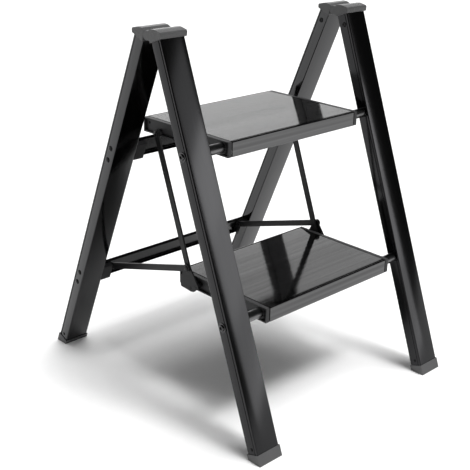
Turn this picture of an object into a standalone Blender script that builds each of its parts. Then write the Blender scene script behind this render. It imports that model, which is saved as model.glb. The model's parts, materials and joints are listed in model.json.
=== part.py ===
"""Folding two-step stool: an A-frame of box-section legs with two boards that fold up.

Metres, +Z up, +X to the right as seen from the front, the front towards -Y. The origin is
on the floor, in the middle of the stool's box when it stands open.
"""

import math

import bmesh
import bpy
from mathutils import Matrix, Vector

# ---------------------------------------------------------------- driving dimensions
WIDTH = 0.458            # across the outer faces of the legs
HINGE_HEIGHT = 0.6195    # top hinge axis above the floor
FRONT_TILT = math.radians(20.0)
REAR_TILT = math.radians(23.3)
FOLD_ANGLE = math.radians(42.0)    # travel of the rear frame
STEP_ANGLE = math.radians(67.0)    # travel of each board

LEG_WIDTH = 0.046        # section across the stool
LEG_DEPTH = 0.0225       # section front to back
LEG_WALL = 0.0015
HINGE_STANDOFF = 0.0057  # hinge axis to the near face of either leg
LEG_TOP_DROP = 0.0085    # leg end below the hinge axis, along the leg

GAP = 0.0003             # between pieces that touch
FIT = 0.0003             # round a shank in its hole

# feet
FOOT_PROUD = 0.0012
FOOT_HEIGHT = 0.018      # up the outer face of the leg
FOOT_PAD = 0.004
FOOT_PLUG = 0.034        # top of the plug inside the leg
FOOT_RIVET_UP = 0.0262
FOOT_RIVET_R = 0.0016
FOOT_RIVET_HEAD_R = 0.0028
FOOT_RIVET_HEAD = 0.0010

# hinge heads
HEAD_SIDE = 0.0023       # wall of the head outside the leg
HEAD_OUTER = 0.0028      # wall on the outer face of the leg
HEAD_INNER = 0.0015      # wall on the face towards the other leg
HEAD_DROP = 0.0130       # lower edge below the hinge axis, along the leg
HEAD_CROWN = 0.0103      # crown above the hinge axis
HEAD_SPLIT = 0.0083      # from the hinge axis to the body of either half
HEAD_ROUND = 0.0060
KNUCKLE_R = 0.0072
KNUCKLE_SIDE = 0.0130    # width of each outer knuckle
HINGE_PIN_R = 0.0025
HINGE_PIN_SINK = 0.0010

# boards
TOP_STEP_HEIGHT = 0.462
LOWER_STEP_HEIGHT = 0.215
STEP_CLEAR = 0.0324      # leg to the end of a board, where link, bracket and brace run
STEP_DEPTH = 0.208
STEP_THICK = 0.025
DECK = 0.002
LIP_WALL = 0.002
LIP_RETURN = 0.008
RIB_WALL = 0.0016
RIB_DEPTH = 0.009
RIB_PITCH = 0.069

# end caps of the boards
CAP_LENGTH = 0.007
CAP_RIM = 0.0024
CAP_POCKET = 0.0042
CAP_TONGUE = 0.012
CAP_TONGUE_THICK = 0.007

# axles of the boards
AXLE_R = 0.0083
AXLE_BORE_R = 0.0063
AXLE_DROP = AXLE_R + DECK + 0.0007   # below the top of the board
AXLE_SETBACK = 0.015     # behind the front of the board
AXLE_IN_LEG = 0.0125     # behind the front face of the leg
STUB_R = 0.0060
STUB_REACH = 0.020       # into the tube
WASHER_R = 0.0080
WASHER_THICK = 0.0012
BUTTON_R = 0.0048
BUTTON_HEIGHT = 0.0018
BUTTON_HOLE_R = 0.0018

# side links between the boards
LINK_BACK = 0.154        # link pivot behind the axle
LINK_DROP = 0.0095       # link pivot below the axle
LINK_WIDTH = 0.0115
LINK_THICK = 0.003
LINK_EYE_R = 0.0075
LINK_STANDOFF = 0.0027   # end cap to link
PIVOT_R = 0.0025
PIVOT_HEAD_R = 0.0045
PIVOT_HEAD = 0.0013
PIVOT_BOSS_R = 0.0063
PIVOT_SINK = 0.0045      # shank inside the end cap

# bracket on each end of the lower board, which carries the brace
BRACKET_THICK = 0.0025
BRACKET_BOLT = (-0.0125, 0.0065)   # from the link pivot: back, up
BRACKET_BOLT_R = 0.0020
BRACKET_COLLAR_R = 0.0036
BRACKET_EYE_R = 0.0060
BRACKET_TAIL = 0.024               # behind the link pivot
BRACE_RISE = 0.0250                # brace pivot above the axle of the lower board

# braces
BRACE_WIDTH = 0.011
BRACE_THICK = 0.003
BRACE_EYE_R = 0.0065

# crossbars of the rear frame
UPPER_BAR_UP = 0.455     # centre, measured up the rear leg
LOWER_BAR_UP = 0.177
BAR_HEIGHT = 0.035
BAR_WALL = 0.0016
BAR_BACK = 0.289 * LEG_DEPTH   # in from the rear face of the leg
BAR_DEPTH = 0.0070
BLOCK_FRONT = 0.0003     # short of the front face of the leg
BAR_RIVET_PITCH = 0.0230
BAR_RIVET_R = 0.0020
BAR_RIVET_HEAD_R = 0.0046
BAR_RIVET_HEAD = 0.0016
BAR_RIVET_REACH = 0.010  # into the block
BRACE_PIN_IN = 0.0185    # in from the rear face of the leg
BRACE_PIN_UP = 0.0105    # above the centre of the lower crossbar
BRACE_PIN_REACH = 0.010  # into the block

ROUND = 28               # facets of a large round
SMALL_ROUND = 16         # facets of a small round
ARC_STEPS = 6            # facets of an outline's corner

# ---------------------------------------------------------------- derived places
HALF = WIDTH / 2
LEG_INNER = HALF - LEG_WIDTH
HINGE_IN = LEG_DEPTH + HINGE_STANDOFF
FRONT_HINGE_UP = (HINGE_HEIGHT + HINGE_IN * math.sin(FRONT_TILT)) / math.cos(FRONT_TILT)
REAR_HINGE_UP = (HINGE_HEIGHT + HINGE_IN * math.sin(REAR_TILT)) / math.cos(REAR_TILT)
HINGE_BACK = FRONT_HINGE_UP * math.sin(FRONT_TILT) + HINGE_IN * math.cos(FRONT_TILT)
OPEN_DEPTH = HINGE_BACK + HINGE_IN * math.cos(REAR_TILT) + REAR_HINGE_UP * math.sin(REAR_TILT)
FRONT_EDGE = -FOOT_PROUD / math.cos(FRONT_TILT)
REAR_EDGE = OPEN_DEPTH + FOOT_PROUD / math.cos(REAR_TILT)
SHIFT = -(FRONT_EDGE + REAR_EDGE) / 2

FRONT = Matrix.Translation((0, SHIFT, 0)) @ Matrix.Rotation(-FRONT_TILT, 4, "X")
REAR = Matrix.Translation((0, SHIFT + OPEN_DEPTH, 0)) @ Matrix.Rotation(REAR_TILT, 4, "X")
HINGE = Vector((0, HINGE_BACK + SHIFT, HINGE_HEIGHT))

STEP_END = LEG_INNER - STEP_CLEAR
BOARD_END = STEP_END - CAP_LENGTH - GAP
BOSS_FACE = STEP_END + LINK_STANDOFF - GAP
LINK_IN = STEP_END + LINK_STANDOFF
LINK_OUT = LINK_IN + LINK_THICK
BRACKET_IN = LINK_OUT + GAP
BRACKET_OUT = BRACKET_IN + BRACKET_THICK
BRACE_IN = BRACKET_OUT + GAP
BRACE_OUT = BRACE_IN + BRACE_THICK
BLOCK_IN = BRACE_OUT + GAP


def axle_place(step_height):
    """Centre of a board's axle: inside the front leg, below the top of the board."""
    height = step_height - AXLE_DROP
    along = (height + AXLE_IN_LEG * math.sin(FRONT_TILT)) / math.cos(FRONT_TILT)
    return FRONT @ Vector((0, AXLE_IN_LEG, along))


TOP_AXLE = axle_place(TOP_STEP_HEIGHT)
LOWER_AXLE = axle_place(LOWER_STEP_HEIGHT)
LINK_LENGTH = (TOP_AXLE - LOWER_AXLE).length
LINK_ARM = Vector((0, LINK_BACK, -LINK_DROP))
BRACE_REAR = REAR @ Vector((0, -BRACE_PIN_IN, LOWER_BAR_UP + BRACE_PIN_UP))


def turned(point, centre, angle):
    """A point turned about a line along X; a positive angle lifts what lies behind."""
    return centre + Matrix.Rotation(angle, 3, "X") @ (point - centre)


def brace_front_place():
    """Brace pivot on the lower board, at the height where the linkage closes exactly.

    The pivot keeps its distance to the rear pin both open and folded. With its height
    over the axle given, that makes one linear equation for its distance behind it.
    """
    folded_pin = turned(BRACE_REAR, HINGE, -FOLD_ANGLE)
    open_span = LOWER_AXLE - BRACE_REAR
    folded_span = LOWER_AXLE - folded_pin
    normal = open_span - Matrix.Rotation(-STEP_ANGLE, 3, "X") @ folded_span
    reach = (folded_span.length_squared - open_span.length_squared) / 2
    back = (reach - normal.z * BRACE_RISE) / normal.y
    return LOWER_AXLE + Vector((0, back, BRACE_RISE))


BRACE_FRONT = brace_front_place()
BRACE_LENGTH = (BRACE_FRONT - BRACE_REAR).length
BRACE_SLOPE = math.atan2(BRACE_FRONT.z - BRACE_REAR.z, BRACE_FRONT.y - BRACE_REAR.y)

SIDES = (("left", -1), ("right", 1))


# ---------------------------------------------------------------- scene and materials
def clear_scene():
    for item in list(bpy.data.objects):
        bpy.data.objects.remove(item, do_unlink=True)
    for item in list(bpy.data.collections):
        bpy.data.collections.remove(item)


clear_scene()
MODEL = bpy.data.collections.new("folding_step_stool")
TOOLS = bpy.data.collections.new("cutters")
bpy.context.scene.collection.children.link(MODEL)
bpy.context.scene.collection.children.link(TOOLS)


def material(name, colour, roughness, metallic):
    """A Principled material in one colour."""
    made = bpy.data.materials.new(name)
    made.use_nodes = True
    shader = made.node_tree.nodes["Principled BSDF"]
    shader.inputs["Base Color"].default_value = (*colour, 1.0)
    shader.inputs["Roughness"].default_value = roughness
    shader.inputs["Metallic"].default_value = metallic
    made.diffuse_color = (*colour, 1.0)
    return made


FINISHES = {
    "anodised": ((0.030, 0.030, 0.032), 0.22, 0.85),
    "tread": ((0.055, 0.055, 0.058), 0.28, 0.80),
    "plastic": ((0.045, 0.045, 0.047), 0.50, 0.0),
    "rubber": ((0.030, 0.030, 0.031), 0.75, 0.0),
    "steel": ((0.025, 0.025, 0.026), 0.35, 0.70),
    "bright": ((0.30, 0.30, 0.31), 0.30, 1.0),
}


# ---------------------------------------------------------------- mesh helpers
def place(name, mesh, frame=None, collection=TOOLS):
    """Put a mesh in the scene as an object, in a leg's frame or in the world's."""
    thing = bpy.data.objects.new(name, mesh)
    collection.objects.link(thing)
    thing.matrix_world = frame if frame is not None else Matrix.Identity(4)
    if collection is TOOLS:
        thing.hide_render = True
        thing.display_type = "WIRE"
    return thing


def finish_mesh(form, name):
    bmesh.ops.recalc_face_normals(form, faces=form.faces)
    if form.calc_volume(signed=True) < 0:
        bmesh.ops.reverse_faces(form, faces=form.faces)
    mesh = bpy.data.meshes.new(name)
    form.to_mesh(mesh)
    form.free()
    return mesh


def box_mesh(name, low, high, floor_slope=None):
    """A box between two corners; floor_slope slants its lower face, as z per y."""
    form = bmesh.new()
    bmesh.ops.create_cube(form, size=1.0)
    for corner in form.verts:
        at_floor = corner.co.z < 0
        for axis in range(3):
            corner.co[axis] = low[axis] if corner.co[axis] < 0 else high[axis]
        if floor_slope is not None and at_floor:
            corner.co.z += corner.co.y * floor_slope
    return finish_mesh(form, name)


def add_rod(form, start, end, radius, centre, facets):
    """A cylinder along X between two places, added to a mesh in the making."""
    turn = Matrix.Rotation(math.radians(90), 4, "Y")
    middle = Vector(((start + end) / 2, centre[0], centre[1]))
    bmesh.ops.create_cone(form, cap_ends=True, segments=facets, radius1=radius, radius2=radius,
                          depth=abs(end - start), matrix=Matrix.Translation(middle) @ turn)


def rods_mesh(name, rods, facets=SMALL_ROUND):
    """Separate cylinders along X, each (start, end, radius, (back, up))."""
    form = bmesh.new()
    for start, end, radius, centre in rods:
        add_rod(form, start, end, radius, centre, facets)
    return finish_mesh(form, name)


def turned_mesh(name, profile, centre, facets=SMALL_ROUND):
    """A solid turned about a line along X; the profile lists (place along X, radius)."""
    form = bmesh.new()
    ring = [form.verts.new((along, 0, radius)) for along, radius in profile]
    edges = [form.edges.new(pair) for pair in zip(ring, ring[1:])]
    bmesh.ops.spin(form, geom=ring + edges, cent=(0, 0, 0), axis=(1, 0, 0),
                   angle=math.tau, steps=facets, use_merge=True)
    bmesh.ops.remove_doubles(form, verts=form.verts, dist=1e-6)
    bmesh.ops.translate(form, verts=form.verts, vec=(0, centre[0], centre[1]))
    mesh = finish_mesh(form, name)
    mesh.shade_smooth()
    mesh.set_sharp_from_angle(angle=math.radians(35))
    return mesh


def outline_mesh(name, points, start, end):
    """A flat outline of (back, up) points, made solid along X from start to end."""
    flat = bpy.data.curves.new(name, "CURVE")
    flat.dimensions = "2D"
    flat.fill_mode = "BOTH"
    flat.extrude = abs(end - start) / 2
    line = flat.splines.new("POLY")
    line.points.add(len(points) - 1)
    for knot, (back, up) in zip(line.points, points):
        knot.co = (back, up, 0, 1)
    line.use_cyclic_u = True
    guide = bpy.data.objects.new(name, flat)
    TOOLS.objects.link(guide)
    graph = bpy.context.evaluated_depsgraph_get()
    mesh = bpy.data.meshes.new_from_object(guide.evaluated_get(graph))
    bpy.data.objects.remove(guide, do_unlink=True)
    bpy.data.curves.remove(flat)
    form = bmesh.new()
    form.from_mesh(mesh)
    bpy.data.meshes.remove(mesh)
    bmesh.ops.remove_doubles(form, verts=form.verts, dist=1e-6)
    bmesh.ops.dissolve_limit(form, angle_limit=math.radians(0.05), verts=form.verts,
                             edges=form.edges)
    for corner in form.verts:
        back, up, across = corner.co
        corner.co = ((start + end) / 2 + across, back, up)
    return finish_mesh(form, name)


def rounded_outline(corners):
    """An outline whose corners (back, up, radius) are rounded with arcs."""
    count = len(corners)
    points = []
    for index, (back, up, radius) in enumerate(corners):
        here = Vector((back, up))
        before = Vector(corners[index - 1][:2]) - here
        after = Vector(corners[(index + 1) % count][:2]) - here
        if radius == 0:
            points.append((back, up))
            continue
        half_turn = before.angle(after) / 2
        reach = radius / math.tan(half_turn)
        centre = here + (before.normalized() + after.normalized()).normalized() * (
            radius / math.sin(half_turn))
        first = here + before.normalized() * reach - centre
        last = here + after.normalized() * reach - centre
        sweep = first.angle_signed(last)
        for step in range(ARC_STEPS + 1):
            spoke = Matrix.Rotation(-sweep * step / ARC_STEPS, 2) @ first
            points.append(tuple(centre + spoke))
    return points


def eye_bar_outline(length, width, eye_r):
    """A flat bar along +Z from one eye at the origin to the other, with round eyes."""
    half = width / 2
    neck = math.asin(min(1.0, half / eye_r))
    points = []
    for step in range(2 * ARC_STEPS + 1):
        turn = math.pi / 2 + neck + (math.tau - 2 * neck) * step / (2 * ARC_STEPS)
        points.append((eye_r * math.cos(turn), eye_r * math.sin(turn)))
    for step in range(2 * ARC_STEPS + 1):
        turn = -math.pi / 2 + neck + (math.tau - 2 * neck) * step / (2 * ARC_STEPS)
        points.append((eye_r * math.cos(turn), length + eye_r * math.sin(turn)))
    return points


def hull_outline(circles):
    """The convex outline round some circles, each (back, up, radius)."""
    cloud = []
    for back, up, radius in circles:
        for step in range(4 * ARC_STEPS):
            turn = math.tau * step / (4 * ARC_STEPS)
            cloud.append((back + radius * math.cos(turn), up + radius * math.sin(turn)))
    cloud.sort()

    def chain(points):
        kept = []
        for point in points:
            while len(kept) > 1 and cross(kept[-2], kept[-1], point) <= 1e-12:
                kept.pop()
            kept.append(point)
        return kept[:-1]

    return chain(cloud) + chain(cloud[::-1])


def cross(start, middle, end):
    return ((middle[0] - start[0]) * (end[1] - start[1])
            - (middle[1] - start[1]) * (end[0] - start[0]))


def combine(thing, operation, name, mesh, frame=None):
    """Cut a shape from an object, or join one to it, with a Boolean modifier."""
    tool = place(name, mesh, frame)
    change = thing.modifiers.new(name, "BOOLEAN")
    change.operation = operation
    change.solver = "EXACT"
    change.object = tool


def cut(thing, name, mesh, frame=None):
    combine(thing, "DIFFERENCE", name, mesh, frame)


def join(thing, name, mesh, frame=None):
    combine(thing, "UNION", name, mesh, frame)


def part(name, mesh, finish, frame=None, pivot=None):
    """A finished piece of the stool; pivot is the empty on the axis that it turns about."""
    thing = place(name, mesh, frame, MODEL)
    colour, roughness, metallic = FINISHES[finish]
    thing.data.materials.append(material(name + "_" + finish, colour, roughness, metallic))
    if pivot is not None:
        bpy.context.view_layer.update()
        thing.parent = pivot
        thing.matrix_parent_inverse = pivot.matrix_world.inverted()
    return thing


def axis_empty(name, location, parent=None):
    """An empty on a joint's axis."""
    mark = bpy.data.objects.new(name, None)
    MODEL.objects.link(mark)
    mark.empty_display_size = 0.02
    mark.location = location
    if parent is not None:
        bpy.context.view_layer.update()
        mark.parent = parent
        mark.matrix_parent_inverse = parent.matrix_world.inverted()
    bpy.context.view_layer.update()
    return mark


def across(side, inner, outer):
    """A span along X on one side of the stool, low end first."""
    return sorted((side * inner, side * outer))


def low_high(side, inner, outer, back, up):
    """Box corners on one side: X from inner to outer, (low, high) pairs for Y and Z."""
    start, end = across(side, inner, outer)
    return (start, back[0], up[0]), (end, back[1], up[1])


# ---------------------------------------------------------------- legs and feet
def leg(name, side, frame, face, slope, top, pivot):
    """A box-section leg. face is (outer, inner) in the leg's own depth."""
    depth = sorted(face)
    low, high = low_high(side, LEG_INNER, HALF, depth, (FOOT_PAD + GAP, top))
    thing = part(name, box_mesh(name, low, high, slope), "anodised", frame, pivot)
    inside = (depth[0] + LEG_WALL, depth[1] - LEG_WALL)
    low, high = low_high(side, LEG_INNER + LEG_WALL, HALF - LEG_WALL, inside, (-0.05, top + 0.01))
    cut(thing, name + "_hollow", box_mesh(name + "_hollow", low, high), frame)
    return thing


def foot(name, side, frame, face, slope, pivot):
    """A moulded foot: a pad and skirt round the leg's end, with a plug up inside it."""
    depth = sorted(face)
    proud = FOOT_PROUD
    low, high = low_high(side, LEG_INNER - proud, HALF + proud,
                         (depth[0] - proud, depth[1] + proud), (0.0, FOOT_HEIGHT))
    thing = part(name, box_mesh(name, low, high, slope), "rubber", frame, pivot)
    low, high = low_high(side, LEG_INNER - GAP, HALF + GAP, (depth[0] - GAP, depth[1] + GAP),
                         (FOOT_PAD, FOOT_PLUG))
    cut(thing, name + "_socket", box_mesh(name + "_socket", low, high, slope), frame)
    wall = LEG_WALL + GAP
    low, high = low_high(side, LEG_INNER + wall, HALF - wall,
                         (depth[0] + wall, depth[1] - wall), (FOOT_PAD / 2, FOOT_PLUG))
    join(thing, name + "_plug", box_mesh(name + "_plug", low, high, slope), frame)
    return thing


def foot_rivet(name, side, frame, depth, pivot):
    """A rivet right through leg and plug, with a low head at each end."""
    inner = LEG_INNER - GAP
    outer = HALF + GAP
    head = FOOT_RIVET_HEAD
    profile = [(inner - head, 0.0), (inner - head, FOOT_RIVET_HEAD_R * 0.6),
               (inner - head * 0.4, FOOT_RIVET_HEAD_R), (inner, FOOT_RIVET_HEAD_R),
               (inner, FOOT_RIVET_R), (outer, FOOT_RIVET_R), (outer, FOOT_RIVET_HEAD_R),
               (outer + head * 0.4, FOOT_RIVET_HEAD_R), (outer + head, FOOT_RIVET_HEAD_R * 0.6),
               (outer + head, 0.0)]
    profile = [(side * along, radius) for along, radius in profile]
    mesh = turned_mesh(name, profile, (depth, FOOT_RIVET_UP), 12)
    return part(name, mesh, "steel", frame, pivot)


def drill(thing, name, side, rods, frame):
    """Holes along X, each (inner, outer, radius, (back, up)), on one side of the stool."""
    spans = [(*across(side, inner, outer), radius, centre) for inner, outer, radius, centre in rods]
    cut(thing, name, rods_mesh(name, spans), frame)


def legs_and_feet(fold):
    """The four legs, their feet and the foot rivets."""
    front_face = (0.0, LEG_DEPTH)
    rear_face = (0.0, -LEG_DEPTH)
    middle = LEG_DEPTH / 2
    rivet_hole = (LEG_INNER - 0.01, HALF + 0.01, FOOT_RIVET_R + FIT)
    stub_hole = (LEG_INNER - 0.01, HALF + 0.01, STUB_R + FIT)
    bar_hole = (LEG_INNER - 0.01, HALF + 0.01, BAR_RIVET_R + FIT)
    for word, side in SIDES:
        name = "front_leg_" + word
        thing = leg(name, side, FRONT, front_face, math.tan(FRONT_TILT),
                    FRONT_HINGE_UP - LEG_TOP_DROP, None)
        holes = [(*rivet_hole, (middle, FOOT_RIVET_UP))]
        for axle in (TOP_AXLE, LOWER_AXLE):
            local = FRONT.inverted() @ axle
            holes.append((*stub_hole, (local.y, local.z)))
        drill(thing, name + "_holes", side, holes, FRONT)
        base = foot("front_foot_" + word, side, FRONT, front_face, math.tan(FRONT_TILT), None)
        drill(base, base.name + "_hole", side, holes[:1], FRONT)
        foot_rivet("front_foot_rivet_" + word, side, FRONT, middle, None)

        name = "rear_leg_" + word
        thing = leg(name, side, REAR, rear_face, -math.tan(REAR_TILT),
                    REAR_HINGE_UP - LEG_TOP_DROP, fold)
        holes = [(*rivet_hole, (-middle, FOOT_RIVET_UP))]
        for bar_up in (UPPER_BAR_UP, LOWER_BAR_UP):
            for way in (-1, 1):
                holes.append((*bar_hole, (-middle, bar_up + way * BAR_RIVET_PITCH / 2)))
        drill(thing, name + "_holes", side, holes, REAR)
        base = foot("rear_foot_" + word, side, REAR, rear_face, -math.tan(REAR_TILT), fold)
        drill(base, base.name + "_hole", side, holes[:1], REAR)
        foot_rivet("rear_foot_rivet_" + word, side, REAR, -middle, fold)


# ---------------------------------------------------------------- hinge heads
def head_body(frame, hinge_up, facing):
    """Side outline of one half of a head. facing is -1 for the front half, 1 for the rear."""
    lower = hinge_up - HEAD_DROP
    outer_low = frame @ Vector((0, facing * HEAD_OUTER, lower))
    inner_low = frame @ Vector((0, -facing * (LEG_DEPTH + HEAD_INNER), lower))
    split = HINGE.y + facing * HEAD_SPLIT
    crown = HINGE.z + HEAD_CROWN
    outer_top = outer_low.y + facing * 0.0008
    corners = [(outer_low.y, outer_low.z, 0.0), (outer_top, crown, HEAD_ROUND),
               (split, crown, HEAD_ROUND / 2), (split, inner_low.z + HEAD_ROUND / 2, 0.0),
               (inner_low.y, inner_low.z, 0.0)]
    return rounded_outline(corners)


def head_half(name, side, frame, hinge_up, facing, knuckles, pivot):
    """One half of a hinge head: a lid over the leg's end with knuckles on the hinge axis."""
    start, end = across(side, LEG_INNER - HEAD_SIDE, HALF + HEAD_SIDE)
    body = outline_mesh(name, head_body(frame, hinge_up, facing), start, end)
    thing = part(name, body, "plastic", None, pivot)
    overlap = 0.0015
    for index, (inner, outer) in enumerate(knuckles):
        low_x, high_x = across(side, inner, outer)
        reach = facing * (HEAD_SPLIT + overlap)
        arm = [(HINGE.y + reach, HINGE.z - KNUCKLE_R), (HINGE.y + reach, HINGE.z + KNUCKLE_R)]
        for step in range(2 * ARC_STEPS + 1):
            turn = math.pi / 2 + facing * math.pi * step / (2 * ARC_STEPS)
            arm.append((HINGE.y + KNUCKLE_R * math.cos(turn), HINGE.z + KNUCKLE_R * math.sin(turn)))
        label = "%s_knuckle_%d" % (name, index + 1)
        join(thing, label, outline_mesh(label, arm, low_x, high_x))
    depth = sorted((0.0, -facing * LEG_DEPTH))
    low, high = low_high(side, LEG_INNER - GAP, HALF + GAP, (depth[0] - GAP, depth[1] + GAP),
                         (hinge_up - 0.05, hinge_up - LEG_TOP_DROP + GAP))
    cut(thing, name + "_socket", box_mesh(name + "_socket", low, high), frame)
    drill(thing, name + "_bore", side, [(LEG_INNER - 0.01, HALF + 0.01, HINGE_PIN_R + FIT,
                                         (HINGE.y, HINGE.z))], None)
    return thing


def hinge_heads(fold):
    """Both halves of both heads, and the pins that they turn on."""
    low = LEG_INNER - HEAD_SIDE
    high = HALF + HEAD_SIDE
    cheeks = [(low, low + KNUCKLE_SIDE), (high - KNUCKLE_SIDE, high)]
    middle = [(low + KNUCKLE_SIDE + GAP, high - KNUCKLE_SIDE - GAP)]
    for word, side in SIDES:
        head_half("front_head_" + word, side, FRONT, FRONT_HINGE_UP, -1, cheeks, None)
        head_half("rear_head_" + word, side, REAR, REAR_HINGE_UP, 1, middle, fold)
        name = "hinge_pin_" + word
        start, end = across(side, low + HINGE_PIN_SINK, high - HINGE_PIN_SINK)
        mesh = rods_mesh(name, [(start, end, HINGE_PIN_R, (HINGE.y, HINGE.z))])
        part(name, mesh, "bright")


# ---------------------------------------------------------------- axles
def axles():
    """The two tubes that the boards turn on, and the stubs that hold them in the legs."""
    for level, axle in (("top", TOP_AXLE), ("lower", LOWER_AXLE)):
        name = level + "_axle"
        centre = (axle.y, axle.z)
        end = LEG_INNER - GAP
        tube = part(name, rods_mesh(name, [(-end, end, AXLE_R, centre)], ROUND), "anodised")
        bore = rods_mesh(name + "_bore", [(-end - 0.01, end + 0.01, AXLE_BORE_R, centre)], ROUND)
        cut(tube, name + "_bore", bore)
        for word, side in SIDES:
            label = "%s_axle_stub_%s" % (level, word)
            face = HALF + GAP
            top = face + WASHER_THICK
            profile = [(end - STUB_REACH, 0.0), (end - STUB_REACH, STUB_R - 0.0006),
                       (end - STUB_REACH + 0.0006, STUB_R), (face, STUB_R), (face, WASHER_R),
                       (top - 0.0004, WASHER_R), (top, WASHER_R - 0.0004), (top, BUTTON_R),
                       (top + BUTTON_HEIGHT * 0.6, BUTTON_R * 0.88),
                       (top + BUTTON_HEIGHT, BUTTON_R * 0.55),
                       (top + BUTTON_HEIGHT, BUTTON_HOLE_R), (top, BUTTON_HOLE_R), (top, 0.0)]
            profile = [(side * along, radius) for along, radius in profile]
            part(label, turned_mesh(label, profile, centre), "steel")


# ---------------------------------------------------------------- boards
def board_outline():
    """Section of a board: deck, front and rear lips turned in below, and two ribs."""
    inner_back = STEP_DEPTH - LIP_WALL
    floor = -STEP_THICK
    ribs = []
    for centre in (STEP_DEPTH / 2 - RIB_PITCH / 2, STEP_DEPTH / 2 + RIB_PITCH / 2):
        ribs += [(centre - RIB_WALL / 2, -DECK), (centre - RIB_WALL / 2, -DECK - RIB_DEPTH),
                 (centre + RIB_WALL / 2, -DECK - RIB_DEPTH), (centre + RIB_WALL / 2, -DECK)]
    corners = [(0.0, 0.0, 0.0012), (0.0, floor, 0.0010), (LIP_RETURN, floor, 0.0),
               (LIP_RETURN, floor + LIP_WALL, 0.0), (LIP_WALL, floor + LIP_WALL, 0.0),
               (LIP_WALL, -DECK, 0.0)]
    corners += [(back, up, 0.0) for back, up in ribs]
    corners += [(inner_back, -DECK, 0.0), (inner_back, floor + LIP_WALL, 0.0),
                (STEP_DEPTH - LIP_RETURN, floor + LIP_WALL, 0.0),
                (STEP_DEPTH - LIP_RETURN, floor, 0.0), (STEP_DEPTH, floor, 0.0010),
                (STEP_DEPTH, 0.0, 0.0012)]
    return rounded_outline(corners)


def end_cap(name, side, frame, pivot, has_bracket):
    """A moulded cap on one end of a board, with its bores for the axle and the link pivot."""
    outline = rounded_outline([(0.0, 0.0, 0.0014), (0.0, -STEP_THICK, 0.0012),
                               (STEP_DEPTH, -STEP_THICK, 0.0012), (STEP_DEPTH, 0.0, 0.0014)])
    start, end = across(side, STEP_END - CAP_LENGTH, STEP_END)
    thing = part(name, outline_mesh(name, outline, start, end), "plastic", frame, pivot)

    low, high = low_high(side, STEP_END - CAP_POCKET, STEP_END + 0.01,
                         (CAP_RIM, STEP_DEPTH - CAP_RIM), (CAP_RIM - STEP_THICK, -CAP_RIM))
    cut(thing, name + "_pocket", box_mesh(name + "_pocket", low, high), frame)

    # a tongue under the deck, between the ribs of the board
    room = RIB_PITCH - RIB_WALL - 2 * GAP
    low, high = low_high(side, BOARD_END - CAP_TONGUE, STEP_END - CAP_LENGTH + 0.001,
                         ((STEP_DEPTH - room) / 2, (STEP_DEPTH + room) / 2),
                         (-DECK - GAP - CAP_TONGUE_THICK, -DECK - GAP))
    join(thing, name + "_tongue", box_mesh(name + "_tongue", low, high), frame)

    axle = (AXLE_SETBACK, -AXLE_DROP)
    pin = (AXLE_SETBACK + LINK_BACK, -AXLE_DROP - LINK_DROP)
    floor = STEP_END - CAP_LENGTH
    start, end = across(side, floor, STEP_END)
    ring = rods_mesh(name + "_collar", [(start, end, AXLE_R + 0.0022, axle)], ROUND)
    join(thing, name + "_collar", ring, frame)
    start, end = across(side, floor, BOSS_FACE)
    join(thing, name + "_boss", rods_mesh(name + "_boss", [(start, end, PIVOT_BOSS_R, pin)], ROUND),
         frame)
    holes = [(BOARD_END - 0.01, STEP_END + 0.01, AXLE_R + FIT, axle),
             (STEP_END - PIVOT_SINK - GAP, STEP_END + 0.01, PIVOT_R + FIT, pin)]
    if has_bracket:
        bolt = (pin[0] + BRACKET_BOLT[0], pin[1] + BRACKET_BOLT[1])
        start, end = across(side, floor, STEP_END)
        seat = rods_mesh(name + "_seat", [(start, end, BRACKET_COLLAR_R, bolt)])
        join(thing, name + "_seat", seat, frame)
        holes.append((STEP_END - PIVOT_SINK - GAP, STEP_END + 0.01, BRACKET_BOLT_R + FIT, bolt))
    drill(thing, name + "_holes", side, holes, frame)
    return thing


def boards(pivots):
    """Both boards with their end caps."""
    for level, axle in (("top", TOP_AXLE), ("lower", LOWER_AXLE)):
        frame = Matrix.Translation((0, axle.y - AXLE_SETBACK, axle.z + AXLE_DROP))
        name = level + "_step_board"
        mesh = outline_mesh(name, board_outline(), -BOARD_END, BOARD_END)
        part(name, mesh, "tread", frame, pivots[level])
        for word, side in SIDES:
            end_cap("%s_step_cap_%s" % (level, word), side, frame, pivots[level], level == "lower")


# ---------------------------------------------------------------- links, brackets, braces
def eye_bar(name, start, end, length, width, eye_r, frame, pivot):
    """A flat bar with a round eye and a hole at each end."""
    outline = eye_bar_outline(length, width, eye_r)
    thing = part(name, outline_mesh(name, outline, start, end), "steel", frame, pivot)
    rods = [(start - 0.01, end + 0.01, PIVOT_R + FIT, (0.0, along)) for along in (0.0, length)]
    cut(thing, name + "_holes", rods_mesh(name + "_holes", rods), frame)
    return thing


def pivot_pin(name, side, tail, face, centre, pivot, headed=True):
    """A shank from tail to face along X, with a low round head on the far side."""
    head = math.copysign(PIVOT_HEAD, face - tail)
    profile = [(tail, 0.0), (tail, PIVOT_R), (face, PIVOT_R), (face, 0.0)]
    if headed:
        profile = [(tail, 0.0), (tail, PIVOT_R), (face, PIVOT_R), (face, PIVOT_HEAD_R),
                   (face + head * 0.5, PIVOT_HEAD_R), (face + head, PIVOT_HEAD_R * 0.6),
                   (face + head, 0.0)]
    profile = [(side * along, radius) for along, radius in profile]
    return part(name, turned_mesh(name, profile, centre), "bright", None, pivot)


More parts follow.
